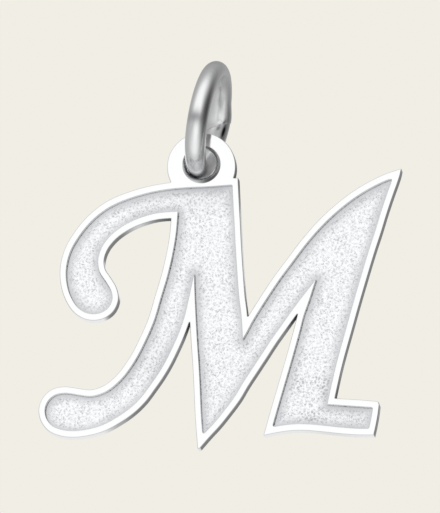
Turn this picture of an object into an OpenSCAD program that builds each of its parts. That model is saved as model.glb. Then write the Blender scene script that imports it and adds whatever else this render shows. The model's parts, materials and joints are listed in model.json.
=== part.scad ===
/* [Letter] */

// Width of the letter, from the lower curl to the raised right tip, mm
letter_w = 20.9; // [18:0.1:26]

// Height from the middle of the eye's hole down to the letter's lowest point, mm
letter_h = 16.5; // [14:0.1:21]

// Thickness of the cast plate, mm
plate_t = 1.2; // [1:0.05:1.6]

// Width of the raised rim, mm
rim_w = 0.37; // [0.25:0.01:0.42]

// Depth of the field sunk inside the rim, mm
field_depth = 0.6; // [0.3:0.05:0.75]

/* [Eye] */

// Play of the ring's wire in the hole of the eye, measured on the radius, mm
eye_play = 0.29; // [0.24:0.01:0.35]

// Radius of the rounding on both edges of the hole, mm
hole_round = 0.22; // [0.1:0.01:0.3]

// Width of metal round the hole, outside its rounding, mm
eye_wall = 0.87; // [0.75:0.01:1.1]

/* [Jump ring] */

// Diameter of the ring's wire, mm
wire_d = 1.19; // [0.9:0.01:1.3]

// Radius of the ring, to the middle of its wire, mm
ring_r = 2.85; // [2.6:0.01:3.4]

// How far the ring leans to the right of upright, degrees
ring_lean = 11.1; // [0:0.1:14]

// How far the ring is turned from square across the plate, degrees
ring_turn = -7; // [-10:0.1:0]

// Width of the seam left where the ends of the wire meet, mm
seam_gap = 0.06; // [0.04:0.01:0.2]

/* [Hidden] */

$fn = 64;

// the letter's drawing sheet: every row is a point [across, down] in sheet units, down from the top
ACROSS = 0;
DOWN = 1;

// middle of the eye's hole on the sheet, and the rise of a level line per unit across
eye_at = [201.4, 164.4];
level_rise = 0.009;

// how far a drawn curve may turn from one of its points to the next, degrees
turn_step = 6;

// every stroke is a closed outline of runs: a run is a smooth curve through its rows, runs meet at corners,
// and where strokes cross, each goes on a little way inside the other
left_stroke = [
    // top edge, upper curl and underside of the arc
    [[238.2, 177.8], [204, 180.2], [186, 181], [170, 182.4], [148, 186.2], [128, 192], [108, 200.5],
     [89, 214.6], [75, 231], [64.4, 249.6], [60, 268], [60.6, 284], [65.4, 299.8], [74, 312.4], [84, 318.6],
     [94, 320.2], [105, 317.7], [114, 310.6], [118.7, 299], [116.8, 288], [110.6, 277.2], [105.4, 269],
     [104.3, 260.6], [107.4, 250.2], [114.4, 240.6], [128, 230.2], [144, 223], [158, 219.3], [171, 218.2]],
    // left edge of the leg, lower curl, and right edge of the leg on into the middle stroke
    [[171, 218.2], [169.5, 235], [166, 255], [161.2, 275], [155.2, 295], [148, 319], [138.9, 339.8],
     [128.1, 359.7], [115.7, 375.7], [103.2, 385.6], [92.1, 389.3], [78, 388], [65, 386.3], [52, 389.1],
     [43, 397.2], [38.8, 409.4], [41.4, 421.8], [49, 430.8], [60, 435.4], [73, 436.9], [88, 435.3],
     [104.3, 430.8], [120.5, 422.2], [134.5, 412.4], [146.4, 400.7], [155, 389.2], [163.4, 377.2],
     [170.7, 365], [177.4, 351.6], [183.2, 338.8], [189.6, 321.5], [195.2, 298.6], [200, 276.4],
     [206, 250], [214, 214]],
    [[214, 214], [239.5, 204]],
    // right end of the top edge
    [[239.5, 204], [238.8, 190], [238.2, 177.8]]
];

middle_stroke = [
    // right edge, down to the notch and on into the rising stroke
    [[238.8, 190], [239.5, 204], [240.7, 225], [241.5, 242], [242.6, 260], [243.8, 278], [245.2, 296],
     [247.4, 314], [249, 340], [249.5, 368]],
    [[249.5, 368], [200.4, 447.4]],
    // lowest point
    [[200.4, 447.4], [197.6, 448.6]],
    [[197.6, 448.6], [195.3, 420]],
    // left edge, up to the leg and on into the left stroke
    [[195.3, 420], [193.4, 380], [192.4, 362], [191.2, 345], [190.2, 328], [188.6, 295],
     [187.4, 255], [186, 195]],
    [[186, 195], [238.8, 190]]
];

rising_stroke = [
    // left edge, from inside the middle stroke past the notch to the raised tip
    [[200, 400], [216, 366], [229, 348.5], [238.6, 333.5], [248.6, 315.4], [255.6, 304.1], [263.2, 292.3],
     [274.8, 275.1], [286.1, 260], [302.8, 238], [320.2, 218.6], [338.2, 202.3], [349.5, 193.7],
     [359.4, 187.1], [371.4, 180.4], [384.5, 174.3], [401.4, 168.6]],
    // the tip and the top of the right edge, and on inside the right stroke
    [[401.4, 168.6], [400.6, 173], [398, 181.6], [394.4, 191.6], [391, 201.4], [386.4, 215.4],
     [381.6, 231.2]],
    [[381.6, 231.2], [360, 252], [340, 268], [321.5, 282]],
    // right edge, down past the leg to the lowest point
    [[321.5, 282], [315, 290.4], [304.4, 304], [297.4, 313.4], [286.6, 328.6], [276.5, 342.8], [267, 357.4],
     [257.4, 372], [248.6, 385.4], [240.5, 399], [230.6, 412.4], [220.5, 425], [210, 436.4], [200.4, 447.4]],
    // lowest point, as on the middle stroke
    [[200.4, 447.4], [197.6, 448.6]],
    [[197.6, 448.6], [195.3, 420]],
    [[195.3, 420], [200, 400]]
];

right_stroke = [
    // right edge of the leg
    [[398, 181.6], [394.4, 191.6], [391, 201.4], [386.4, 215.4], [381.6, 231.2], [375.6, 249.4],
     [366.9, 278], [361, 298], [352, 330], [342.5, 364.4], [334.8, 398.1]],
    // foot
    [[334.8, 398.1], [375, 400.9]],
    [[375, 400.9], [378, 401.8], [379.1, 404.4]],
    [[379.1, 404.4], [377.9, 413.6], [376, 424], [373.6, 434.6]],
    [[373.6, 434.6], [355, 434.4], [338, 433.1], [322, 431.4], [308, 430.2], [296, 430], [284, 431.1],
     [274, 432.8], [263.3, 435.1]],
    // left edge of the leg, on into the rising stroke
    [[263.3, 435.1], [272.7, 402], [281.4, 372.4], [287.6, 351], [293.4, 330], [297.6, 314], [303.4, 297.5],
     [307.6, 284.5], [311.6, 272], [320, 250], [332, 226], [350, 206]],
    [[350, 206], [398, 181.6]]
];

strokes = [left_stroke, middle_stroke, rising_stroke, right_stroke];

// millimetres to one unit of the sheet, across and down
rows = [for (runs = strokes) for (run = runs) for (row = run) row];
leftmost = min([for (row = rows) row[ACROSS]]);
rightmost = max([for (row = rows) row[ACROSS]]);
lowest = max([for (row = rows) row[DOWN]]);
unit_across = letter_w / (rightmost - leftmost);
unit_down = letter_h / (lowest - eye_at[DOWN]);

// strokes are joined spread by this much and drawn back, which welds them along the edges they share
weld = 0.02;

// a little more than a cut needs, so that it comes out through the face
over = 0.1;

// the eye: its hole, and the lug round it, whose middle lies a little lower
hole_r = wire_d / 2 + eye_play;
lug_r = hole_r + hole_round + eye_wall;
lug_drop = 0.14;

// where the lowest part of the ring's wire lies in the hole, as shares of the play
rest_across = -0.64;
rest_up = -0.48;

// direction from the ring's middle to its top
ring_top = [sin(ring_lean) * cos(ring_turn), sin(ring_lean) * sin(ring_turn), cos(ring_lean)];

// middle of the ring, from the middle of the eye's hole on the front face of the plate
ring_middle = [rest_across * eye_play + ring_r * ring_top[0], plate_t / 2,
               rest_up * eye_play + ring_r * ring_top[2]];

// inside top of the ring, where it hangs: the origin
hang_point = ring_middle + (ring_r - wire_d / 2) * ring_top;

// the seam lies at the back of the ring, halfway up
seam_at = 89;
seam_angle = seam_gap / ring_r * 180 / PI;

// length and direction of a run after its row i, and its smoothed heading at that row
function reach(run, i) = norm(run[i + 1] - run[i]);
function way(run, i) = (run[i + 1] - run[i]) / reach(run, i);
function inner_heading(run, i) =
    (way(run, i) * reach(run, i - 1) + way(run, i - 1) * reach(run, i)) / (reach(run, i - 1) + reach(run, i));
function heading(run, i) =
    i == 0 ? 1.5 * way(run, 0) - 0.5 * inner_heading(run, 1)
    : i == len(run) - 1 ? 1.5 * way(run, i - 1) - 0.5 * inner_heading(run, i - 1)
    : inner_heading(run, i);

// point of a smooth curve between the rows i and i + 1, at the share u of the stretch
function on_curve(run, i, u) =
    run[i] * (2 * pow(u, 3) - 3 * pow(u, 2) + 1)
    + heading(run, i) * reach(run, i) * (pow(u, 3) - 2 * pow(u, 2) + u)
    + run[i + 1] * (3 * pow(u, 2) - 2 * pow(u, 3))
    + heading(run, i + 1) * reach(run, i) * (pow(u, 3) - pow(u, 2));

// angle the run turns through between the rows i and i + 1, and the parts its stretch is divided into
function turn_of(run, i) =
    acos(min(1, heading(run, i) * heading(run, i + 1) / norm(heading(run, i)) / norm(heading(run, i + 1))));
function parts_of(run, i) = max(1, ceil(turn_of(run, i) / turn_step));

function run_points(run) =
    len(run) == 2 ? [run[0]]
    : [for (i = [0 : len(run) - 2]) let (parts = parts_of(run, i))
        for (s = [0 : parts - 1]) on_curve(run, i, s / parts)];

// a sheet point in millimetres, from the middle of the eye's hole
function placed(row) =
    let (x = row[ACROSS] - eye_at[ACROSS], z = eye_at[DOWN] - row[DOWN] - level_rise * x)
    [x * unit_across, z * unit_down];

module stroke(runs) {
    polygon([for (run = runs) for (row = run_points(run)) placed(row)]);
}

module letter_outline() {
    offset(delta = -weld)
        offset(delta = weld)
            for (runs = strokes) stroke(runs);
}

// every stroke is shrunk on its own, so the rims of two strokes run together in a long point between them
module field_outline() {
    offset(delta = weld)
        for (runs = strokes)
            offset(delta = -rim_w - weld) stroke(runs);
}

// stands a flat outline up in the plate, from the depth front to the depth back
module upright(front, back) {
    translate([0, back, 0])
        rotate([90, 0, 0])
            linear_extrude(back - front)
                children();
}

// section of the hole's cutter: straight in the middle, spread by the rounding at each face
module hole_section() {
    translate([0, -over]) square([hole_r, plate_t + 2 * over]);
    for (side = [0, 1])
        translate([0, side * plate_t]) mirror([0, side])
            difference() {
                translate([0, -over]) square([hole_r + hole_round, hole_round + over]);
                translate([hole_r + hole_round, hole_round]) circle(hole_round);
            }
}

module letter_plate() {
    color("#dcdde0")
        difference() {
            union() {
                upright(0, plate_t) letter_outline();
                upright(0, plate_t) translate([0, -lug_drop]) circle(lug_r);
            }
            upright(-over, field_depth) field_outline();
            rotate([-90, 0, 0]) rotate_extrude() hole_section();
        }
}

module jump_ring() {
    color("#c9cacd")
        translate(ring_middle)
            rotate([0, 90 + ring_lean, ring_turn])
                rotate([0, 0, seam_at + seam_angle / 2])
                    rotate_extrude(angle = 360 - seam_angle)
                        translate([ring_r, 0]) circle(d = wire_d);
}

translate(-hang_point) {
    letter_plate();
    jump_ring();
}
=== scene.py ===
"""Looks of a cast letter pendant and its jump ring: dressed meshes, silver, and a small photo studio."""

import json
import math
from types import SimpleNamespace

import bpy
import numpy as np
from mathutils import Matrix, Vector
from mathutils.geometry import delaunay_2d_cdt
from mathutils.kdtree import KDTree


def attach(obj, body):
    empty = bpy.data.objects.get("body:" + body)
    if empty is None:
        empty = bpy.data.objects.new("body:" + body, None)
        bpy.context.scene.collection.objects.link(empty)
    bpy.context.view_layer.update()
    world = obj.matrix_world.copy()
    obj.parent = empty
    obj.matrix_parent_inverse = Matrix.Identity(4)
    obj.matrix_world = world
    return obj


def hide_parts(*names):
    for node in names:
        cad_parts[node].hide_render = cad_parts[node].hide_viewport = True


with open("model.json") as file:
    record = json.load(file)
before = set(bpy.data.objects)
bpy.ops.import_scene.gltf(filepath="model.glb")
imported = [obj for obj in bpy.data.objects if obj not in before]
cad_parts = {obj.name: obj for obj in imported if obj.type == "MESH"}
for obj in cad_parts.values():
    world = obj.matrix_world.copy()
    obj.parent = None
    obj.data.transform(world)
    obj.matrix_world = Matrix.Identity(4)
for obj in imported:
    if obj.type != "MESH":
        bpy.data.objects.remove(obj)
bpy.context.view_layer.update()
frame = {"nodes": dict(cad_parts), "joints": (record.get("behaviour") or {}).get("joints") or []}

# shapes are worked out in millimetres and made in metres
MM = 0.001
# heights nearer than this are one, and no direction is taken from a length under the second value
TINY = 1e-4
SMALLEST = 1e-12

# roundings of the casting: the field's upper edge, its foot, and the outer edges in front and behind
TOP_ROUND = 0.035
FOOT_ROUND = 0.022
OUTER_ROUND = 0.055
BACK_ROUND = 0.035
# radii of the outline's own corners, and of the field's: those that point out of it and those that point in
OUTLINE_SOFT = {"out": 0.035, "in": 0.03}
FIELD_SOFT = {"out": 0.11, "in": 0.02}
# a loop has a corner where it turns by more than this, and the letter an inlet where it turns in by more
CORNER_TURN = math.radians(18)
INLET_TURN = math.radians(50)
# the hole's worn bevel: its slope at the mouth and at the throat
BEVEL_FROM, BEVEL_TO = math.radians(38), math.radians(62)
# how far the throat has worn off centre, and how much smaller its radius is than the CAD bore's
THROAT_WEAR = (-0.04, 0.09)
THROAT_TIGHT = 0.01
# how far from an edge a wall's first row lies
WALL_ROW = 0.02
# spacing of points along the outlines, over the field and over the plain faces
EDGE_STEP = 0.092
FIELD_STEP = 0.049
PLAIN_STEP = 0.6
# rows of points beside an edge, as shares of its rounding, and beside the hole's mouth, in millimetres
ROUND_ROWS = (0.07, 0.25, 0.55, 1.0)
FOOT_ROWS = (0.08, 0.3, 0.65, 1.1)
MOUTH_ROWS = (0.015, 0.12)
# points round the hole, and its rings down the bevel, as shares of the bevel's change of slope
HOLE_SIDES = 72
BEVEL_ROWS = (0.06, 0.35, 0.7, 1.0)

# the field's floor rises a little towards its walls: how much, and from how far
DISH = 0.03
DISH_REACH = 0.55
# its stipple: close-set pits, over slower waves, bare beside the walls
PIT_PITCH = 0.19
PIT_DEPTH = 0.024
WAVE_PITCH = 0.7
WAVE_HEIGHT = 0.008
BARE_BORDER = (0.06, 0.3)
# shares by which slow waves change the stipple's strength and the reach of the painted shade beside the
# walls
STIPPLE_WAVE = 0.15
NOOK_WAVE = 0.25
# the pits: from least to most, their length by their width and their share of the depth
PIT_LENGTH = (0.9, 2.1)
PIT_SHARE = (0.3, 1.0)
# a pit's slope, from its bottom to its edge, and how far the pits lie out of line, all in pitches
PIT_SLOPE = (0.05, 0.38)
PIT_JITTER = 0.42
# how many of the nearest pits a point may lie in
PITS_NEAR = 3
# painted shade on the metal beside the walls, how far it reaches, how fast it fades, and the painted shade
# in the pits
NOOK_SHADE = 0.85
NOOK_REACH = 0.66
NOOK_FALL = 1.3
PIT_SHADE = 0.8
# patches low in the right leg where the pits are deeper and their painted shade darker: middles, radius,
# gain
COARSE_AT = ((4.5, -17.6), (6.3, -17.8), (5.4, -19.5))
COARSE_RADIUS = 0.75
COARSE_GAIN = 1.2
# patches of painted shade under the field's top edge, in the lower stroke and in the foot: middle, radius,
# shade
PAINTED_SHADE_AT = (
    ((-1.4, -6.5), 0.9, 0.2),
    ((0.2, -6.5), 0.9, 0.2),
    ((-3.8, -16.3), 1.1, 0.17),
    ((7.6, -19.5), 1.2, 0.1),
)
# the crevice at the hole's lower left is painted with black shadow: its direction, its half width, and the
# strength of that painted shadow, which starts and is full at these depths down the bevel
CREVICE_AT, CREVICE_HALF = math.radians(-135), math.radians(42)
CREVICE_SHADE = 1.7
CREVICE_DEPTH = (0.02, 0.17)
# painted shade, going to black at its strongest, darkens the outer wall near the inlets: how strongly, and
# how far
INLET_SHADE = 1.5
INLET_REACH = 1.5


# Reading the frame

def node_mesh(name):
    """Points in millimetres, and triangles, of a CAD node."""
    mesh = frame["nodes"][name].data
    mesh.calc_loop_triangles()
    points = np.array([v.co for v in mesh.vertices]) / MM
    return points, np.array([t.vertices for t in mesh.loop_triangles])


def flat_loops(points, triangles, level, facing):
    """Closed loops of (x, z) round the triangles at y = level that face along facing * Y, largest first."""
    corners = points[triangles]
    normals = np.cross(corners[:, 1] - corners[:, 0], corners[:, 2] - corners[:, 0])
    flat = (np.abs(corners[:, :, 1] - level).max(1) < TINY * 10) & (normals[:, 1] * facing > 0)
    keys = [tuple(p) for p in np.round(points[:, [0, 2]], 4)]
    edges = {(keys[a], keys[b]) for t in triangles[flat] for a, b in zip(t, np.roll(t, -1))}
    after = {a: b for a, b in edges if (b, a) not in edges}
    loops = []
    while after:
        start = min(after)
        loop, point = [], start
        while point in after:
            loop.append(point)
            point = after.pop(point)
        loops.append(np.array(loop))
    return sorted((anticlockwise(loop) for loop in loops), key=area, reverse=True)


def area(loop):
    """Signed area of a closed loop, positive when it runs anticlockwise."""
    x, z = loop.T
    return 0.5 * float(np.sum(x * np.roll(z, -1) - np.roll(x, -1) * z))


def anticlockwise(loop):
    return loop if area(loop) > 0 else loop[::-1]


# Smooth outlines from the polygons of the CAD faces

# the rounding of a corner takes at most this share of each stretch, and the stretch's next point is kept
# if it lies this share of a step beyond
CUT_MOST = 0.45
CUT_CLEAR = 0.35
# no corner is rounded as a sharper one than this, and its curve has a part for each such turn
SHARPEST = math.radians(168)
CORNER_PART = math.radians(16)


def unit(rows):
    return rows / np.maximum(np.linalg.norm(rows, axis=-1, keepdims=True), SMALLEST)


def wrapped(angle):
    """The same angle between -pi and pi."""
    return (angle + math.pi) % (2 * math.pi) - math.pi


def turns(loop):
    """Signed turn of a closed loop at each of its points."""
    into = loop - np.roll(loop, 1, 0)
    out = np.roll(loop, -1, 0) - loop
    return np.arctan2(into[:, 0] * out[:, 1] - into[:, 1] * out[:, 0], np.sum(into * out, 1))


def smooth_stretch(points, step):
    """A smooth curve through the points, in parts of at most step."""
    if len(points) == 2:
        parts = max(1, math.ceil(np.linalg.norm(points[1] - points[0]) / step))
        return points[0] + (points[1] - points[0]) * np.linspace(0, 1, parts + 1)[:, None]
    reach = np.linalg.norm(np.diff(points, axis=0), axis=1)[:, None]
    way = np.diff(points, axis=0) / reach
    inner = (way[1:] * reach[:-1] + way[:-1] * reach[1:]) / (reach[1:] + reach[:-1])
    heading = np.vstack([1.5 * way[:1] - 0.5 * inner[:1], inner, 1.5 * way[-1:] - 0.5 * inner[-1:]])
    rows = []
    for i, length in enumerate(reach[:, 0]):
        u = np.linspace(0, 1, max(1, math.ceil(length / step)) + 1)[:-1, None]
        rows.append(points[i] * (2 * u**3 - 3 * u**2 + 1) + heading[i] * length * (u**3 - 2 * u**2 + u)
                    + points[i + 1] * (3 * u**2 - 2 * u**3) + heading[i + 1] * length * (u**3 - u**2))
    return np.vstack(rows + [points[-1:]])


def cut_back(stretch, length, step):
    """The stretch without its first part of that length, starting with a point just there."""
    walked = np.concatenate([[0], np.cumsum(np.linalg.norm(np.diff(stretch, axis=0), axis=1))])
    length = min(length, CUT_MOST * walked[-1])
    start = np.array([np.interp(length, walked, stretch[:, k]) for k in (0, 1)])
    return np.vstack([start, stretch[walked > length + CUT_CLEAR * step]])


def soft_outline(loop, radii, step):
    """The loop as a smooth curve in parts of at most step, its corners rounded."""
    turn = turns(loop)
    corners = np.flatnonzero(np.abs(turn) > CORNER_TURN)
    if not len(corners):
        return smooth_stretch(np.vstack([loop, loop[:1]]), step)[:-1]
    rolled = np.roll(np.arange(len(loop)), -corners[0])
    marks = np.append(np.flatnonzero(np.isin(rolled, corners)), len(loop))
    rolled = np.append(rolled, rolled[0])
    stretches = [smooth_stretch(loop[rolled[a:b + 1]], step) for a, b in zip(marks, marks[1:])]
    reach = []
    for corner in rolled[marks[:-1]]:
        radius = radii["out"] if turn[corner] > 0 else radii["in"]
        reach.append(radius * math.tan(min(abs(turn[corner]), SHARPEST) / 2))
    rows = []
    for i, stretch in enumerate(stretches):
        point = stretch[0]
        kept = cut_back(stretch, reach[i], step)
        kept = cut_back(kept[::-1], reach[(i + 1) % len(reach)], step)[::-1]
        before = cut_back(stretches[i - 1][::-1], reach[i], step)[0]
        parts = max(3, math.ceil(abs(turn[rolled[marks[i]]]) / CORNER_PART))
        u = np.linspace(0, 1, parts + 1)[1:-1, None]
        rows += [before * (1 - u)**2 + point * 2 * u * (1 - u) + kept[0] * u**2, kept]
    return np.vstack(rows)


def inward(loop):
    """Directions into an anticlockwise loop at its points."""
    along = unit(np.roll(loop, -1, 0) - np.roll(loop, 1, 0))
    return np.column_stack([-along[:, 1], along[:, 0]])


def circle(middle, radius, count):
    angles = np.linspace(0, 2 * math.pi, count, endpoint=False)
    return middle + radius * np.column_stack([np.cos(angles), np.sin(angles)])


# Distances and regions in the plane of the letter

# height of a triangle with equal sides
SLANT = math.sqrt(3) / 2
# a point of a row stays if it keeps the first share of its distance from every loop, and the second share
# of the row's spacing from the other loops
ROW_KEEPS = 0.97
ROW_CLEARS = 0.6
# shares of a step by which the points beyond the rows keep clear of them, and by which they are out of line
GRID_CLEARS = 0.45
GRID_JITTER = 0.22
# points nearer than this are joined
JOINED = 1e-7


class Border:
    """A closed loop that gives the distance of points from it."""

    def __init__(self, loop):
        self.loop = loop
        self.tree = KDTree(len(loop))
        for i, (x, z) in enumerate(loop):
            self.tree.insert((x, z, 0), i)
        self.tree.balance()

    def distance(self, points):
        near = np.array([self.tree.find((x, z, 0))[1] for x, z in points], int)
        best = np.full(len(points), np.inf)
        for side in (-1, 0):
            a = self.loop[near + side]
            b = self.loop[(near + side + 1) % len(self.loop)]
            share = np.clip(np.sum((points - a) * (b - a), 1) / np.sum((b - a)**2, 1), 0, 1)
            best = np.minimum(best, np.linalg.norm(points - a - share[:, None] * (b - a), axis=1))
        return best


def inside(loop, points):
    """Which of the points lie inside the loop."""
    result = np.zeros(len(points), bool)
    x, z = points.T
    for (ax, az), (bx, bz) in zip(loop, np.roll(loop, -1, 0)):
        if az != bz:
            result ^= ((az > z) != (bz > z)) & (x < ax + (z - az) * (bx - ax) / (bz - az))
    return result


def staggered(low, high, step, jitter, rng):
    """Points about a step apart over a rectangle, each moved by up to jitter steps."""
    columns, lines = np.meshgrid(np.arange(low[0], high[0], step), np.arange(low[1], high[1], step * SLANT))
    columns[1::2] += step / 2
    grid = np.column_stack([columns.ravel(), lines.ravel()])
    return grid + rng.uniform(-jitter, jitter, grid.shape) * step


def within(loops, points):
    """Which of the points lie inside the first loop and outside the others."""
    good = inside(loops[0], points)
    for hole in loops[1:]:
        good &= ~inside(hole, points)
    return good


def rows_beside(loops, borders, k, distances):
    """Rows of points that follow loop k at those distances, where they keep clear of all the loops."""
    side = inward(loops[k]) * (1 if k == 0 else -1)
    last, rows = 0, []
    for distance in distances:
        row = loops[k] + side * distance
        gaps = [border.distance(row) for border in borders]
        good = within(loops, row) & (np.min(gaps, axis=0) > ROW_KEEPS * distance)
        for gap in gaps[:k] + gaps[k + 1:]:
            good &= gap > ROW_CLEARS * (distance - last)
        rows.append(row[good])
        last = distance
    return rows


def fill(outer, holes, rows, step, seed):
    """Points and triangles that fill the region inside outer and outside the holes.

    The points begin with those of the loops, in order. rows gives, for each loop, the distances of the rows
    of points that follow it; beyond them the points lie about a step apart, a little out of line.
    """
    loops = [outer, *holes]
    borders = [Border(loop) for loop in loops]
    beside = [row for k, distances in enumerate(rows) for row in rows_beside(loops, borders, k, distances)]
    grid = staggered(outer.min(0), outer.max(0), step, GRID_JITTER, np.random.default_rng(seed))
    grid = grid[within(loops, grid)]
    for border, distances in zip(borders, rows):
        grid = grid[border.distance(grid) > distances[-1] + GRID_CLEARS * step]
    points = np.vstack([*loops, *beside, grid])
    edges, first = [], 0
    for loop in loops:
        edges += [(first + i, first + (i + 1) % len(loop)) for i in range(len(loop))]
        first += len(loop)
    _, _, faces, sources, _, _ = delaunay_2d_cdt([Vector(p) for p in points], edges, [], 0, JOINED)
    source = np.array([min(s) for s in sources])
    triangles = source[np.array(faces)]
    on_loops = np.all(triangles < first, axis=1)
    kept = ~on_loops
    kept[on_loops] = within(loops, points[triangles[on_loops]].mean(1))
    return points, triangles[kept]


def rounded(distance, radius):
    """How far a rounded edge lies under its face, at a distance from the edge."""
    short = np.clip(radius - distance, 0, radius)
    return radius - np.sqrt(radius**2 - short**2)


def smoothstep(value, low, high):
    share = np.clip((value - low) / (high - low), 0, 1)
    return share * share * (3 - 2 * share)


def waves(points, size, seed):
    """Smooth random heights from -1 to 1, with waves of about that size."""
    count = 512
    table = np.random.default_rng(seed).uniform(-1, 1, (count, count))
    place = points / size + count / 2
    cell = np.floor(place).astype(int)
    share = smoothstep(place - cell, 0, 1)
    value = [[table[(cell[:, 0] + i) % count, (cell[:, 1] + k) % count] for k in (0, 1)] for i in (0, 1)]
    low = value[0][0] * (1 - share[:, 1]) + value[0][1] * share[:, 1]
    high = value[1][0] * (1 - share[:, 1]) + value[1][1] * share[:, 1]
    return low * (1 - share[:, 0]) + high * share[:, 0]


def pits(points, pitch, seed):
    """How deep each point lies in the nearest of many scattered oblong pits, from 0 to 1."""
    rng = np.random.default_rng(seed)
    hearts = staggered(points.min(0) - 2 * pitch, points.max(0) + 2 * pitch, pitch, PIT_JITTER, rng)
    tilt = rng.uniform(0, math.pi, len(hearts))
    along = np.column_stack([np.cos(tilt), np.sin(tilt)])
    length = rng.uniform(*PIT_LENGTH, len(hearts))
    depth = rng.uniform(*PIT_SHARE, len(hearts))
    tree = KDTree(len(hearts))
    for i, (x, z) in enumerate(hearts):
        tree.insert((x, z, 0), i)
    tree.balance()
    near = np.array([[found[1] for found in tree.find_n((x, z, 0), PITS_NEAR)] for x, z in points])
    deepest = np.zeros(len(points))
    for heart in near.T:
        arm = points - hearts[heart]
        lengthwise = np.sum(arm * along[heart], 1) / length[heart]
        across = arm[:, 0] * along[heart, 1] - arm[:, 1] * along[heart, 0]
        reach = np.hypot(lengthwise, across) / pitch
        deepest = np.maximum(deepest, depth[heart] * (1 - smoothstep(reach, *PIT_SLOPE)))
    return deepest


# Meshes

class Shell:
    """Collects the points and faces of one mesh, with named values at its points."""

    def __init__(self, **sizes):
        self.sizes = sizes
        self.points, self.faces = [], []
        self.values = {label: [] for label in sizes}
        self.count = 0

    def add(self, points, **values):
        points = np.asarray(points, float)
        self.points.append(points)
        for label, size in self.sizes.items():
            shape = (len(points), size) if size > 1 else len(points)
            self.values[label].append(np.broadcast_to(values.get(label, 0.0), shape))
        first, self.count = self.count, self.count + len(points)
        return np.arange(first, self.count)

    def patch(self, index, triangles, flip=False):
        triangles = index[triangles]
        self.faces += [tuple(t) for t in (triangles[:, ::-1] if flip else triangles).tolist()]

    def strip(self, one, other):
        """Quads between two closed rings of as many points."""
        ahead, above = np.roll(one, -1), np.roll(other, -1)
        self.faces += [tuple(f) for f in np.column_stack([one, ahead, above, other]).tolist()]

    def object(self, name, material):
        mesh = bpy.data.meshes.new(name)
        mesh.from_pydata((np.vstack(self.points) * MM).tolist(), [], self.faces)
        for label, size in self.sizes.items():
            kind, field = ("FLOAT_VECTOR", "vector") if size > 1 else ("FLOAT", "value")
            attribute = mesh.attributes.new(label, kind, "POINT")
            attribute.data.foreach_set(field, np.concatenate(self.values[label]).astype(np.float32).ravel())
        mesh.materials.append(material)
        mesh.shade_smooth()
        mesh.update()
        piece = bpy.data.objects.new(name, mesh)
        bpy.context.scene.collection.objects.link(piece)
        return piece


# Materials

def new_material(name, color, metallic, roughness):
    material = bpy.data.materials.new(name)
    material.use_nodes = True
    shader = material.node_tree.nodes["Principled BSDF"]
    shader.inputs["Base Color"].default_value = (*color, 1)
    shader.inputs["Metallic"].default_value = metallic
    shader.inputs["Roughness"].default_value = roughness
    return material, material.node_tree, shader


def node(tree, kind, inputs=None, **settings):
    """A new node of that kind, with its settings and inputs; an input may be another node's output."""
    made = tree.nodes.new(kind)
    for key, value in settings.items():
        setattr(made, key, value)
    for key, value in (inputs or {}).items():
        if isinstance(value, bpy.types.NodeSocket):
            tree.links.new(value, made.inputs[key])
        else:
            made.inputs[key].default_value = value
    return made


def math_node(tree, operation, *values):
    return node(tree, "ShaderNodeMath", dict(enumerate(values)), operation=operation).outputs[0]


def mapped(tree, value, low, high, to_low, to_high, smooth=False):
    """The value carried from one range to another."""
    made = node(tree, "ShaderNodeMapRange", {0: value, 1: low, 2: high, 3: to_low, 4: to_high},
                interpolation_type="SMOOTHSTEP" if smooth else "LINEAR")
    return made.outputs[0]


def noise(tree, place, scale, detail=2.0, roughness=0.5):
    inputs = {"Vector": place, "Scale": scale, "Detail": detail, "Roughness": roughness}
    return node(tree, "ShaderNodeTexNoise", inputs).outputs[0]


def attribute(tree, name, output="Fac"):
    return node(tree, "ShaderNodeAttribute", attribute_name=name).outputs[output]


def color_mix(tree, share, one, other):
    """A share of the other colour in the one, from 0 to 1; either may be an output."""
    one, other = (c if isinstance(c, bpy.types.NodeSocket) else (*c, 1) for c in (one, other))
    made = node(tree, "ShaderNodeMix", data_type="RGBA")
    for key, value in (("Factor", share), ("A", one), ("B", other)):
        socket = next(s for s in made.inputs if s.name == key and s.enabled)
        if isinstance(value, bpy.types.NodeSocket):
            tree.links.new(value, socket)
        else:
            socket.default_value = value
    return next(s for s in made.outputs if s.enabled)


def blended(tree, share, one, other):
    """A share of the other number in the one, from 0 to 1."""
    return node(tree, "ShaderNodeMix", {0: share, 2: one, 3: other}, data_type="FLOAT").outputs[0]


def bumped(tree, height, strength, distance, **under):
    """The surface's normal with a bump as deep as distance; Normal may name a bump under it."""
    inputs = {"Height": height, "Strength": strength, "Distance": distance, **under}
    return node(tree, "ShaderNodeBump", inputs).outputs[0]


# polished rim, brushed back and matt field, the grey of the painted shade in the nooks and how much rougher
# it is there, and the black of the painted shadow
RIM_COLOR = (0.965, 0.968, 0.972)
RIM_ROUGHNESS = (0.03, 0.09)
BRUSHED_ROUGHNESS = (0.16, 0.34)
FIELD_COLOR = (0.982, 0.99, 1.0)
FIELD_ROUGHNESS = (0.18, 0.28)
PAINTED_SHADE_COLOR = (0.5, 0.51, 0.53)
NOOK_ROUGHNESS = 0.35
PAINTED_SHADOW_COLOR = (0.03, 0.03, 0.03)
# fine lines run aslant over the casting: their tilt, how much longer than wide they are, and their noise
LINE_TILT = math.radians(31)
LINE_STRETCH = 14
LINE_NOISE = {"scale": 1100.0, "detail": 5.0, "roughness": 0.65}
# soft clouds in the polish, and the grit of the field
CLOUD_NOISE = {"scale": 420.0, "detail": 3.0}
GRIT_NOISE = {"scale": 14000.0, "detail": 2.0}
# from where to where the noises make the rim, the back and the field rougher
POLISH_SPAN = (0.12, 0.42)
BRUSHED_SPAN = (0.35, 0.65)
GRIT_SPAN = (0.3, 0.7)
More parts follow.
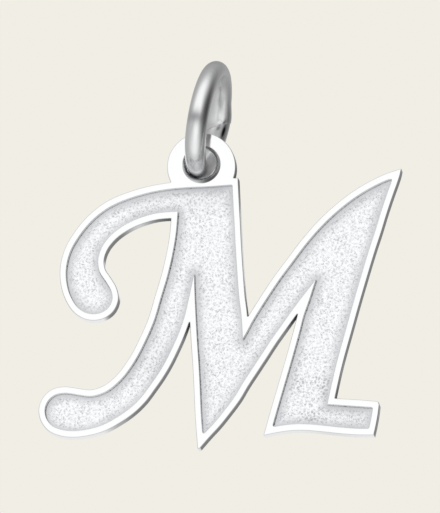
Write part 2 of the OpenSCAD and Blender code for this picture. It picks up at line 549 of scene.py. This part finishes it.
# specks of painted shade in the stipple's hollows: thin veins where a noise is near its middle, broken up
# by the grit
VEIN_NOISE = {"scale": 5000.0, "detail": 1.0}
VEIN_MIDDLE = 0.5
VEIN_WIDTH = (0.02, 0.07)
SPECK_SPAN = (0.42, 0.56)
SPECK_SHADE = 0.8
# bump of the lines on the polished front and on the brushed back, and of the grit, and their depths
LINE_BUMP = (0.05, 0.3)
LINE_DEPTH = 0.02 * MM
GRIT_BUMP = 0.7
GRIT_DEPTH = 0.012 * MM


def cast_material():
    """Cast silver: a polished rim with fine lines, and a matt stippled field, with painted grey shade in
    its nooks and pits and painted black shadow in the crevice and near the inlets.
    """
    material, tree, shader = new_material("cast_silver", RIM_COLOR, 1.0, RIM_ROUGHNESS[0])
    place = node(tree, "ShaderNodeTexCoord").outputs["Object"]
    drawn = node(tree, "ShaderNodeMapping", {"Vector": place, "Rotation": (0, LINE_TILT, 0),
                                             "Scale": (1, 1, LINE_STRETCH)}).outputs[0]
    lines = noise(tree, drawn, **LINE_NOISE)
    clouds = noise(tree, place, **CLOUD_NOISE)
    grit = noise(tree, place, **GRIT_NOISE)
    stipple, nook = attribute(tree, "stipple"), attribute(tree, "nook")
    sunk, brushed = attribute(tree, "sunk"), attribute(tree, "brushed")
    # roughness of the rim, the back, the nooks and the field
    polish = mapped(tree, math_node(tree, "MULTIPLY", lines, clouds), *POLISH_SPAN, *RIM_ROUGHNESS)
    satin = mapped(tree, lines, *BRUSHED_SPAN, *BRUSHED_ROUGHNESS)
    matt = mapped(tree, grit, *GRIT_SPAN, *FIELD_ROUGHNESS)
    rougher_in_shade = math_node(tree, "MULTIPLY_ADD", nook, NOOK_ROUGHNESS, blended(tree, brushed, polish, satin))
    tree.links.new(blended(tree, sunk, rougher_in_shade, matt), shader.inputs["Roughness"])
    # colour: painted grey shade in the nooks, pits and specks, and painted black shadow where that shade
    # goes past 1
    vein = math_node(tree, "SUBTRACT", noise(tree, place, **VEIN_NOISE), VEIN_MIDDLE)
    vein = mapped(tree, math_node(tree, "ABSOLUTE", vein), *VEIN_WIDTH, 1.0, 0.0, smooth=True)
    broken = mapped(tree, grit, *SPECK_SPAN, SPECK_SHADE, 0.0)
    speck = math_node(tree, "MULTIPLY", math_node(tree, "MULTIPLY", vein, broken), stipple)
    metal = color_mix(tree, sunk, RIM_COLOR, FIELD_COLOR)
    shade = color_mix(tree, math_node(tree, "ADD", nook, speck), metal, PAINTED_SHADE_COLOR)
    shade = color_mix(tree, math_node(tree, "SUBTRACT", nook, 1.0), shade, PAINTED_SHADOW_COLOR)
    tree.links.new(shade, shader.inputs["Base Color"])
    fine = bumped(tree, lines, mapped(tree, brushed, 0.0, 1.0, *LINE_BUMP), LINE_DEPTH)
    fine = bumped(tree, math_node(tree, "MULTIPLY", grit, stipple), GRIT_BUMP, GRIT_DEPTH, Normal=fine)
    tree.links.new(fine, shader.inputs["Normal"])
    return material


# drawn wire, duller inside the ring, and what a scuffed place or a place of painted shade turns to
WIRE_COLOR = (0.93, 0.935, 0.94)
WIRE_ROUGHNESS = (0.09, 0.16)
INNER_ROUGHNESS = 0.2
SCUFF_AND_SHADE_COLOR = (0.32, 0.32, 0.33)
SCUFF_AND_SHADE_ROUGHNESS = 0.25
# lines along the wire, with their bump and its depth in metres
DRAW_NOISE = {"scale": 5.0, "detail": 4.0, "roughness": 0.6}
DRAW_BUMP = 0.03
DRAW_DEPTH = 0.02 * MM
# clouds that make the scuffs and the painted shade uneven: from where to where in the noise, and their
# strength there
PATCHY_NOISE = {"scale": 1300.0, "detail": 3.0}
PATCHY_SPAN = (0.3, 0.55)
PATCHY_SHARE = (0.8, 1.0)
# from where to where the lines and clouds together make the wire rougher
UNEVEN_SPAN = (0.15, 0.38)
# the wire gets duller from its middle towards the ring's inner side, up to this far, in millimetres
INNER_SPAN = (-0.3, 0.0)


def wire_material():
    """Drawn silver wire: satin, with faint lines along it, duller where it is scuffed, and darker where
    shade and shadow are painted on it.
    """
    material, tree, shader = new_material("silver_wire", WIRE_COLOR, 1.0, WIRE_ROUGHNESS[0])
    draw = attribute(tree, "draw", "Vector")
    lines = noise(tree, draw, **DRAW_NOISE)
    clouds = noise(tree, node(tree, "ShaderNodeTexCoord").outputs["Object"], **PATCHY_NOISE)
    # the clouds make the scuffs and the painted shade patchy alike
    worn = mapped(tree, clouds, *PATCHY_SPAN, *PATCHY_SHARE)
    scuff = math_node(tree, "MULTIPLY", attribute(tree, "scuff"), worn)
    uneven = mapped(tree, math_node(tree, "MULTIPLY", lines, clouds), *UNEVEN_SPAN, *WIRE_ROUGHNESS)
    satin = math_node(tree, "MULTIPLY_ADD", scuff, SCUFF_AND_SHADE_ROUGHNESS, uneven)
    outward = node(tree, "ShaderNodeSeparateXYZ", {0: draw}).outputs[1]
    inner = mapped(tree, outward, *INNER_SPAN, INNER_ROUGHNESS, 0.0, smooth=True)
    tree.links.new(math_node(tree, "ADD", satin, inner), shader.inputs["Roughness"])
    # colour: grey where scuffed or painted with shade, and painted black shadow where that goes past 1
    shade = color_mix(tree, scuff, WIRE_COLOR, SCUFF_AND_SHADE_COLOR)
    shade = color_mix(tree, math_node(tree, "SUBTRACT", scuff, 1.0), shade, PAINTED_SHADOW_COLOR)
    tree.links.new(shade, shader.inputs["Base Color"])
    tree.links.new(bumped(tree, lines, DRAW_BUMP, DRAW_DEPTH), shader.inputs["Normal"])
    return material


# The casting

def stippled_floor(flat, away):
    """Rise of the field's floor at its points, with how far they are stippled and how much painted shade
    they get.
    """
    uneven = 1 - STIPPLE_WAVE + STIPPLE_WAVE * waves(flat, WAVE_PITCH, seed=12)
    stipple = smoothstep(away, *BARE_BORDER) * uneven
    away_from = [np.sum((flat - middle)**2, 1) for middle in COARSE_AT]
    coarse = 1 + COARSE_GAIN * np.exp(-np.min(away_from, axis=0) / COARSE_RADIUS**2)
    pit = pits(flat, PIT_PITCH, seed=11)
    foot = rounded(away, FOOT_ROUND) + DISH * np.clip(1 - away / DISH_REACH, 0, 1)**2
    relief = WAVE_HEIGHT * waves(flat, WAVE_PITCH, seed=13) - PIT_DEPTH * coarse * pit
    # painted shade: darker beside the walls, where shade falls, and in the pits
    reach = NOOK_REACH * (1 + NOOK_WAVE * waves(flat, 2 * WAVE_PITCH, seed=14))
    beside = NOOK_SHADE * np.clip(1 - away / reach, 0, 1)**NOOK_FALL
    shade = beside + PIT_SHADE * coarse * pit * stipple * (1 - beside)
    # and patches of painted shade
    for middle, radius, more in PAINTED_SHADE_AT:
        shade += more * np.exp(-np.sum((flat - middle)**2, 1) / radius**2)
    return foot + stipple * relief, stipple, np.clip(shade, 0, 1)


def read_letter():
    """The CAD letter in numbers: its levels, its smoothed loops, its inlets and its hole."""
    points, triangles = node_mesh("letter_plate")
    front, back = points[:, 1].min(), points[:, 1].max()
    outline, field, mouth = flat_loops(points, triangles, front, -1)
    inner = points[(points[:, 1] > front + TINY) & (points[:, 1] < back - TINY)]
    on_field = inside(outline, inner[:, [0, 2]]) & (Border(field).distance(inner[:, [0, 2]]) < TINY * 10)
    depth = float(np.max(inner[on_field, 1])) - front
    eye = mouth.mean(0)
    mouth_r = float(np.linalg.norm(mouth - eye, axis=1).mean())
    hole_r = float(np.linalg.norm(points[:, [0, 2]] - eye, axis=1).min()) - THROAT_TIGHT
    inlets = outline[turns(outline) < -INLET_TURN]
    outline = soft_outline(outline, OUTLINE_SOFT, EDGE_STEP)
    field = soft_outline(field, FIELD_SOFT, EDGE_STEP)
    return SimpleNamespace(
        front=front, back=back, depth=depth, outline=outline, field=field, inlets=inlets,
        from_outline=Border(outline).distance, from_field=Border(field).distance,
        eye=eye, mouth=circle(eye, mouth_r, HOLE_SIDES), mouth_r=mouth_r, hole_r=hole_r)


def raised(flat, y):
    """The points (x, z) of a plane at y, which may be one level or a level for each."""
    return np.column_stack([flat[:, 0], np.broadcast_to(y, len(flat)), flat[:, 1]])


def add_front(shell, plan):
    """The level rim and lug, rounded off; returns their points on the outline, the field and the mouth."""
    outer_rows, inner_rows = ([r * size for r in ROUND_ROWS] for size in (OUTER_ROUND, TOP_ROUND))
    flat, faces = fill(plan.outline, [plan.field, plan.mouth], [outer_rows, inner_rows, MOUTH_ROWS],
                       PLAIN_STEP, seed=1)
    outer, inner = rounded(plan.from_outline(flat), OUTER_ROUND), rounded(plan.from_field(flat), TOP_ROUND)
    top = shell.add(raised(flat, plan.front + np.maximum(outer, inner)))
    shell.patch(top, faces)
    return np.split(top, np.cumsum([len(plan.outline), len(plan.field), HOLE_SIDES]))[:3]


def add_field(shell, plan):
    """The field's stippled floor; returns the rows of points down its walls and the floor's own edge."""
    foot_rows = [r * FOOT_ROUND for r in FOOT_ROWS]
    flat, faces = fill(plan.field, [], [foot_rows], FIELD_STEP, seed=2)
    rise, stipple, nook = stippled_floor(flat, plan.from_field(flat))
    level = plan.front + plan.depth - rise
    floor = shell.add(raised(flat, level), stipple=stipple, nook=nook, sunk=1.0)
    shell.patch(floor, faces)
    edge = len(plan.field)
    return [shell.add(raised(plan.field, plan.front + TOP_ROUND + WALL_ROW)),
            shell.add(raised(plan.field, level[:edge] - WALL_ROW)), floor[:edge]]


def add_back(shell, plan):
    """The brushed back with a rounded edge; returns its points on the outline and on the mouth."""
    back_rows = [r * BACK_ROUND for r in ROUND_ROWS]
    flat, faces = fill(plan.outline, [plan.mouth], [back_rows, MOUTH_ROWS], PLAIN_STEP, seed=3)
    rear = shell.add(raised(flat, plan.back - rounded(plan.from_outline(flat), BACK_ROUND)), brushed=1.0)
    shell.patch(rear, faces, flip=True)
    return np.split(rear, np.cumsum([len(plan.outline), HOLE_SIDES]))[:2]


def add_side(shell, plan):
    """Rows of the outer wall, from the back to the front, with painted shade near the inlets."""
    to_inlet = np.min([np.linalg.norm(plan.outline - inlet, axis=1) for inlet in plan.inlets], axis=0)
    shade = INLET_SHADE * np.exp(-(to_inlet / INLET_REACH)**2)
    levels = (plan.back - BACK_ROUND - WALL_ROW, plan.front + OUTER_ROUND + WALL_ROW)
    return [shell.add(raised(plan.outline, level), nook=shade) for level in levels]


def bevel_circles(plan, level, toward):
    """Circles from a mouth of the hole down its worn bevel, as (middle, radius, y)."""
    wide = plan.mouth_r - plan.hole_r
    scale = wide / (math.sin(BEVEL_TO) - math.sin(BEVEL_FROM))
    rows = []
    for share in BEVEL_ROWS:
        slope = BEVEL_FROM + share * (BEVEL_TO - BEVEL_FROM)
        inset = (math.sin(slope) - math.sin(BEVEL_FROM)) * scale
        rows.append((plan.eye + np.array(THROAT_WEAR) * inset / wide, plan.mouth_r - inset,
                     level + toward * scale * (math.cos(BEVEL_FROM) - math.cos(slope))))
    middle, radius, y = rows[-1]
    return rows + [(middle, radius, y + toward * WALL_ROW)]


def add_bore(shell, plan):
    """Rings of the hole from its front mouth to its rear one, with painted black shadow in the crevice."""
    off = wrapped(np.arctan2(*(plan.mouth - plan.eye).T[::-1]) - CREVICE_AT)
    crevice = CREVICE_SHADE * np.exp(-(off / CREVICE_HALF)**2)
    rings = []
    for middle, radius, y in bevel_circles(plan, plan.front, 1) + bevel_circles(plan, plan.back, -1)[::-1]:
        shade = smoothstep(plan.mouth_r - radius, *CREVICE_DEPTH) * crevice
        rings.append(shell.add(raised(circle(middle, radius, HOLE_SIDES), y), nook=shade))
    return rings


def build_letter(material):
    plan = read_letter()
    shell = Shell(stipple=1, nook=1, sunk=1, brushed=1)
    top_outline, top_field, top_mouth = add_front(shell, plan)
    wall = [top_field, *add_field(shell, plan)]
    rear_outline, rear_mouth = add_back(shell, plan)
    side = [rear_outline, *add_side(shell, plan), top_outline]
    bore = [top_mouth, *add_bore(shell, plan), rear_mouth]
    for rows in (wall, side, bore):
        for one, other in zip(rows, rows[1:]):
            shell.strip(one, other)
    return shell.object("cast_letter", material)


letter = build_letter(cast_material())
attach(letter, "letter")
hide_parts("letter_plate")


# The jump ring

# sections along the wire and points round it
RING_PARTS = 240
WIRE_SIDES = 96
# a facet of the CAD wire that faces along the ring more than this belongs to one of its flat ends
FACES_ALONG = 0.999
# rounding of the wire's ends, its rows as shares of it, and the small ring of points in the end's face
END_ROUND = 0.015
END_ROWS = (0, 0.1, 0.35, 0.7, 1)
END_HEART = 0.3
# how much of the CAD seam's width is left open
SEAM_LEFT = 0.08
# how far each end of the wire stands out of line, along the ring's axis and outwards, how much wider the
# cut has pressed it, and the angle over which both fade
END_SHIFT = {"upper": (0.07, 0.01), "lower": (0.035, -0.01)}
END_WIDTH = 1.08
END_FADE = math.radians(30)
# the cut runs askew: how far up the back of the ring it is moved, how much further up on its right side and
# down on its left, and where that ends
CUT_LIFT, CUT_SKEW, CUT_FADE = math.radians(0.5), math.radians(7.5), math.radians(50)
# scuffed places and places of painted shade, in degrees: their angle round the ring from its lowest point
# and round the wire from its outer side, how far they reach each way, and how strong they are. The first is
# a scuffed, dull band on the front strand's middle; the others are painted shade on the wire where it runs
# into the hole, on the front strand's flank beside the rear strand and about the joint, and strengths past
# 1 paint black shadow under the bead
SCUFFS_AND_SHADE = (
    ((275, 3), (7, 50), 1.0),
    ((352, 72), (28, 60), 0.95),
    ((268, 57), (24, 17), 0.8),
    ((340, 0), (20, 80), 0.5),
    ((440, 180), (14, 60), 0.6),
    ((439, 134), (8, 10), 2.8),
    ((445, 168), (5, 15), 1.1),
    ((91, 200), (8, 32), 0.55),
)
# the lines of the drawn wire are drawn out along it by squeezing the noise's place
DRAW_SQUEEZE = 0.07
# the wire is pressed flat above its upper end: where, over what angle, how far moved, how much wider
PRESSED_AT, PRESSED_FADE = math.radians(102), math.radians(18)
PRESSED_SHIFT, PRESSED_WIDTH = -0.06, 0.1
# a worn facet on the rear strand: its middle, half its length, the way it faces, its half width, its depth
FACET_AT, FACET_HALF = math.radians(111), math.radians(21)
FACET_FACES, FACET_WIDE = math.radians(161), math.radians(16)
FACET_DEPTH = 0.022
# a bead of metal at the upper end: its place and size, in degrees round ring and wire, and its height
BEAD_AT = (91.7, 158)
BEAD_SIZE = (3, 13)
BEAD_HEIGHT = 0.14


def read_ring():
    """The CAD ring in numbers: its middle, axes and radii, and where its wire starts and stops."""
    joint = frame["joints"][0]
    middle = np.array(joint["pos_m"]) / MM
    axis = unit(np.array(joint["axis"], float))
    points, triangles = node_mesh("jump_ring")
    arm = points - middle
    across = arm @ axis
    out = np.linalg.norm(arm - across[:, None] * axis, axis=1)
    wire_r = float(np.abs(across).max())
    # axes of the ring's plane: down and to the back
    down = unit(np.array([0, 0, -1.0]) + axis[2] * axis)
    rear = np.cross(axis, down)
    # the seam is where the flat ends of the wire face along the ring
    corners = arm[triangles]
    normal = unit(np.cross(corners[:, 1] - corners[:, 0], corners[:, 2] - corners[:, 0]))
    centre = corners.mean(1)
    angle = np.arctan2(centre @ rear, centre @ down)
    along = np.cos(angle)[:, None] * rear - np.sin(angle)[:, None] * down
    ends = angle[np.abs(np.sum(normal * along, 1)) > FACES_ALONG]
    seam = float(np.arctan2(np.sin(ends).mean(), np.cos(ends).mean()))
    half_gap = float(np.abs(ends - seam).max()) * SEAM_LEFT
    return SimpleNamespace(
        middle=middle, axis=axis, down=down, rear=rear, wire_r=wire_r, ring_r=float(out.max()) - wire_r,
        start=seam + half_gap, stop=seam - half_gap + 2 * math.pi)


def spot(turn, sides, at, size):
    """How far the points of a section lie in a soft spot, from 0 to 1; the spot is given in degrees."""
    at, size = np.radians(at), np.radians(size)
    return np.exp(-((turn - at[0]) / size[0])**2 - (wrapped(sides - at[1]) / size[1])**2)


def worn_radius(turn, sides, radius, wire_r):
    """Radius of the wire at the points of a section, less on the facet and more on the bead."""
    worn = FACET_DEPTH * math.exp(-((turn - FACET_AT) / FACET_HALF)**4)
    radius = radius - worn * np.exp(-(wrapped(sides - FACET_FACES) / FACET_WIDE)**2)
    return radius + BEAD_HEIGHT * spot(turn, sides, BEAD_AT, BEAD_SIZE) * radius / wire_r


def add_section(shell, plan, turn, radius):
    """The points of the wire at one angle round the ring, with their values."""
    sides = np.linspace(-math.pi, math.pi, WIRE_SIDES, endpoint=False)
    upper = 1 - smoothstep(turn - plan.start, 0, END_FADE)
    lower = 1 - smoothstep(plan.stop - turn, 0, END_FADE)
    pressed = math.exp(-((turn - PRESSED_AT) / PRESSED_FADE)**2)
    aside, outer = (upper * END_SHIFT["upper"][k] + lower * END_SHIFT["lower"][k] for k in (0, 1))
    width = 1 + (END_WIDTH - 1) * (upper + lower) + PRESSED_WIDTH * pressed
    radius = worn_radius(turn, sides, radius, plan.wire_r)
    askew = 1 - smoothstep(min(turn - plan.start, plan.stop - turn), 0, CUT_FADE)
    turned = (turn + askew * (CUT_LIFT + CUT_SKEW * np.sin(sides)))[:, None]
    outward = np.cos(turned) * plan.down + np.sin(turned) * plan.rear
    place = plan.middle + (plan.ring_r + outer + (radius * np.cos(sides))[:, None]) * outward
    place += (aside + PRESSED_SHIFT * pressed + width * (radius * np.sin(sides))[:, None]) * plan.axis
    draw = np.column_stack([np.full(WIRE_SIDES, turn * plan.ring_r * DRAW_SQUEEZE),
                            plan.wire_r * np.cos(sides), plan.wire_r * np.sin(sides)])
    # the scuff and the painted shade and black painted shadow on the wire
    scuff = np.max([strength * spot(turn, sides, at, size) for at, size, strength in SCUFFS_AND_SHADE], axis=0)
    return shell.add(place, draw=draw, scuff=scuff)


def build_ring(material):
    plan = read_ring()
    shell = Shell(draw=3, scuff=1)
    tip = END_ROUND / plan.ring_r
    tips = [(tip * share, plan.wire_r - rounded(END_ROUND * share, END_ROUND)) for share in END_ROWS]
    heart = plan.wire_r * END_HEART
    stations = [(plan.start, heart)]
    stations += [(plan.start + turn, radius) for turn, radius in tips]
    turning = np.linspace(plan.start + tip, plan.stop - tip, RING_PARTS)[1:-1]
    stations += [(turn, plan.wire_r) for turn in turning]
    stations += [(plan.stop - turn, radius) for turn, radius in tips[::-1]]
    stations += [(plan.stop, heart)]
    rings = [add_section(shell, plan, *station) for station in stations]
    for one, other in zip(rings, rings[1:]):
        shell.strip(other, one)
    shell.faces += [tuple(rings[0].tolist()), tuple(rings[-1].tolist()[::-1])]
    return shell.object("wire_ring", material)


ring = build_ring(wire_material())
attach(ring, "ring")
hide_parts("jump_ring")


# Camera: at the photograph's angle, a little to the right of the letter and below it, with a long lens

IMAGE_W, IMAGE_H = 440, 513
CAMERA_AZIMUTH = 4.0
CAMERA_ELEVATION = -8.0
# its distance from the pendant, and the nearest and farthest that it sees, in metres
CAMERA_AWAY = 1.1
CAMERA_SEES = (0.01, 20.0)
# the eye's middle in the photograph, and the size of a pixel there
EYE_PIXEL = (201.4, 164.4)
PIXEL = 0.0575 * MM
SENSOR = 36.0


def build_camera():
    points, triangles = node_mesh("letter_plate")
    front = points[:, 1].min()
    mouth = flat_loops(points, triangles, front, -1)[-1].mean(0)
    eye = Vector((mouth[0], front, mouth[1])) * MM
    azimuth, elevation = math.radians(CAMERA_AZIMUTH), math.radians(CAMERA_ELEVATION)
    back = Vector((math.sin(azimuth) * math.cos(elevation), -math.cos(azimuth) * math.cos(elevation),
                   math.sin(elevation)))
    right = Vector((math.cos(azimuth), math.sin(azimuth), 0))
    up = back.cross(right)
    aim = eye + right * (IMAGE_W / 2 - EYE_PIXEL[0]) * PIXEL + up * (EYE_PIXEL[1] - IMAGE_H / 2) * PIXEL
    data = bpy.data.cameras.new("camera")
    data.sensor_width = SENSOR
    data.lens = SENSOR * CAMERA_AWAY / (IMAGE_H * PIXEL)
    data.clip_start, data.clip_end = CAMERA_SEES
    camera = bpy.data.objects.new("camera", data)
    bpy.context.scene.collection.objects.link(camera)
    turn = Matrix((right, up, back)).transposed().to_4x4()
    camera.matrix_world = Matrix.Translation(aim + back * CAMERA_AWAY) @ turn
    bpy.context.scene.camera = camera


build_camera()


# Studio: a pale floor under the pendant, in a light tent that is bright in front and dark on the right

BACKDROP = (0.879, 0.855, 0.783)
# how far the floor lies below the pendant's hanging point, and its size, in metres
FLOOR_DROP = 1.2
FLOOR_RADIUS = 1.5
FLOOR_SIDES = 96
# the floor's paper: matt, with a faint fibre
PAPER_ROUGHNESS = 0.9
PAPER_NOISE = {"scale": 900.0, "detail": 4.0}
PAPER_BUMP = 0.03
PAPER_DEPTH = 0.2 * MM
# brightness of the tent by the angle in degrees from straight in front, towards each side
TENT = {
    "right": ((0, 1), (16, 0.97), (26, 0.68), (38, 0.4), (50, 0.22), (63, 0.13), (80, 0.085), (92, 0.095),
              (110, 0.17), (132, 0.27), (160, 0.37), (180, 0.4)),
    "left above": ((0, 1), (45, 0.98), (54, 0.9), (66, 0.74), (79, 0.56), (96, 0.46), (110, 0.42),
                   (180, 0.45)),
    "left below": ((0, 1), (22, 0.95), (30, 0.8), (40, 0.6), (52, 0.5), (70, 0.46), (110, 0.43),
                   (180, 0.45)),
    "up": ((0, 1), (30, 0.97), (60, 0.94), (70, 0.84), (80, 0.68), (90, 0.54), (100, 0.44), (117, 0.37),
           (145, 0.31), (180, 0.36)),
    "down": ((0, 1), (30, 0.94), (75, 0.9), (90, 0.7), (110, 0.5), (130, 0.35), (180, 0.4)),
}
# where one side goes over into another, in x or z of a direction: left below to above, and all the others
LEFT_MEETS = (-0.3, 0.3)
SIDES_MEET = (-0.02, 0.02)
# the back of the tent: how far round it lies, its brightness on the left and on the right, and where in x
# that changes
TENT_BACK = (164, 170)
BACK_LIGHT = (0.8, 0.2)
BACK_MEETS = (0.02, 0.12)
TENT_LIGHT = 1.04


def tent_side(tree, angle, stops):
    """Brightness along one side of the tent."""
    made = node(tree, "ShaderNodeValToRGB", {0: math_node(tree, "DIVIDE", angle, 180.0)})
    ramp = made.color_ramp
    ramp.interpolation = "EASE"
    while len(ramp.elements) < len(stops):
        ramp.elements.new(0.5)
    for element, (turn, light) in zip(ramp.elements, stops):
        element.position = turn / 180
        element.color = (light, light, light, 1)
    return made.outputs[0]


def tent_light(tree, way):
    """Brightness of the tent in each direction."""
    x, y, z = way.outputs
    angle = math_node(tree, "DEGREES", math_node(tree, "ARCCOSINE", math_node(tree, "MULTIPLY", y, -1.0)))
    side = {name: tent_side(tree, angle, stops) for name, stops in TENT.items()}
    rises = mapped(tree, z, *LEFT_MEETS, 0, 1, smooth=True)
    left = blended(tree, rises, side["left below"], side["left above"])
    level = blended(tree, mapped(tree, x, *SIDES_MEET, 0, 1), left, side["right"])
    upright = blended(tree, mapped(tree, z, *SIDES_MEET, 0, 1), side["down"], side["up"])
    wide, high = math_node(tree, "POWER", x, 2.0), math_node(tree, "POWER", z, 2.0)
    steep = math_node(tree, "DIVIDE", high, math_node(tree, "ADD", wide, high))
    light = blended(tree, steep, level, upright)
    rear = mapped(tree, x, *BACK_MEETS, *BACK_LIGHT, smooth=True)
    light = blended(tree, mapped(tree, angle, *TENT_BACK, 0, 1, smooth=True), light, rear)
    return math_node(tree, "MULTIPLY", light, TENT_LIGHT)


def build_world():
    world = bpy.data.worlds.new("studio")
    bpy.context.scene.world = world
    world.use_nodes = True
    tree = world.node_tree
    way = node(tree, "ShaderNodeSeparateXYZ", {0: node(tree, "ShaderNodeTexCoord").outputs["Generated"]})
    light = tent_light(tree, way)
    grey = node(tree, "ShaderNodeCombineColor", {0: light, 1: light, 2: light}).outputs[0]
    seen = node(tree, "ShaderNodeLightPath").outputs["Is Camera Ray"]
    mix = node(tree, "ShaderNodeMix", {"Factor": seen, "A": grey, "B": (*BACKDROP, 1)}, data_type="RGBA")
    tree.links.new(mix.outputs["Result"], tree.nodes["Background"].inputs["Color"])


def build_floor():
    bpy.ops.mesh.primitive_circle_add(vertices=FLOOR_SIDES, radius=FLOOR_RADIUS, fill_type="NGON",
                                      location=(0, 0, -FLOOR_DROP))
    floor = bpy.context.object
    floor.name = "floor"
    material, tree, shader = new_material("floor_paper", BACKDROP, 0.0, PAPER_ROUGHNESS)
    paper = noise(tree, node(tree, "ShaderNodeTexCoord").outputs["Object"], **PAPER_NOISE)
    tree.links.new(bumped(tree, paper, PAPER_BUMP, PAPER_DEPTH), shader.inputs["Normal"])
    floor.data.materials.append(material)
    # the polished metal mirrors the tent alone
    floor.visible_glossy = False


build_world()
build_floor()
bpy.context.scene.view_settings.view_transform = "Standard"
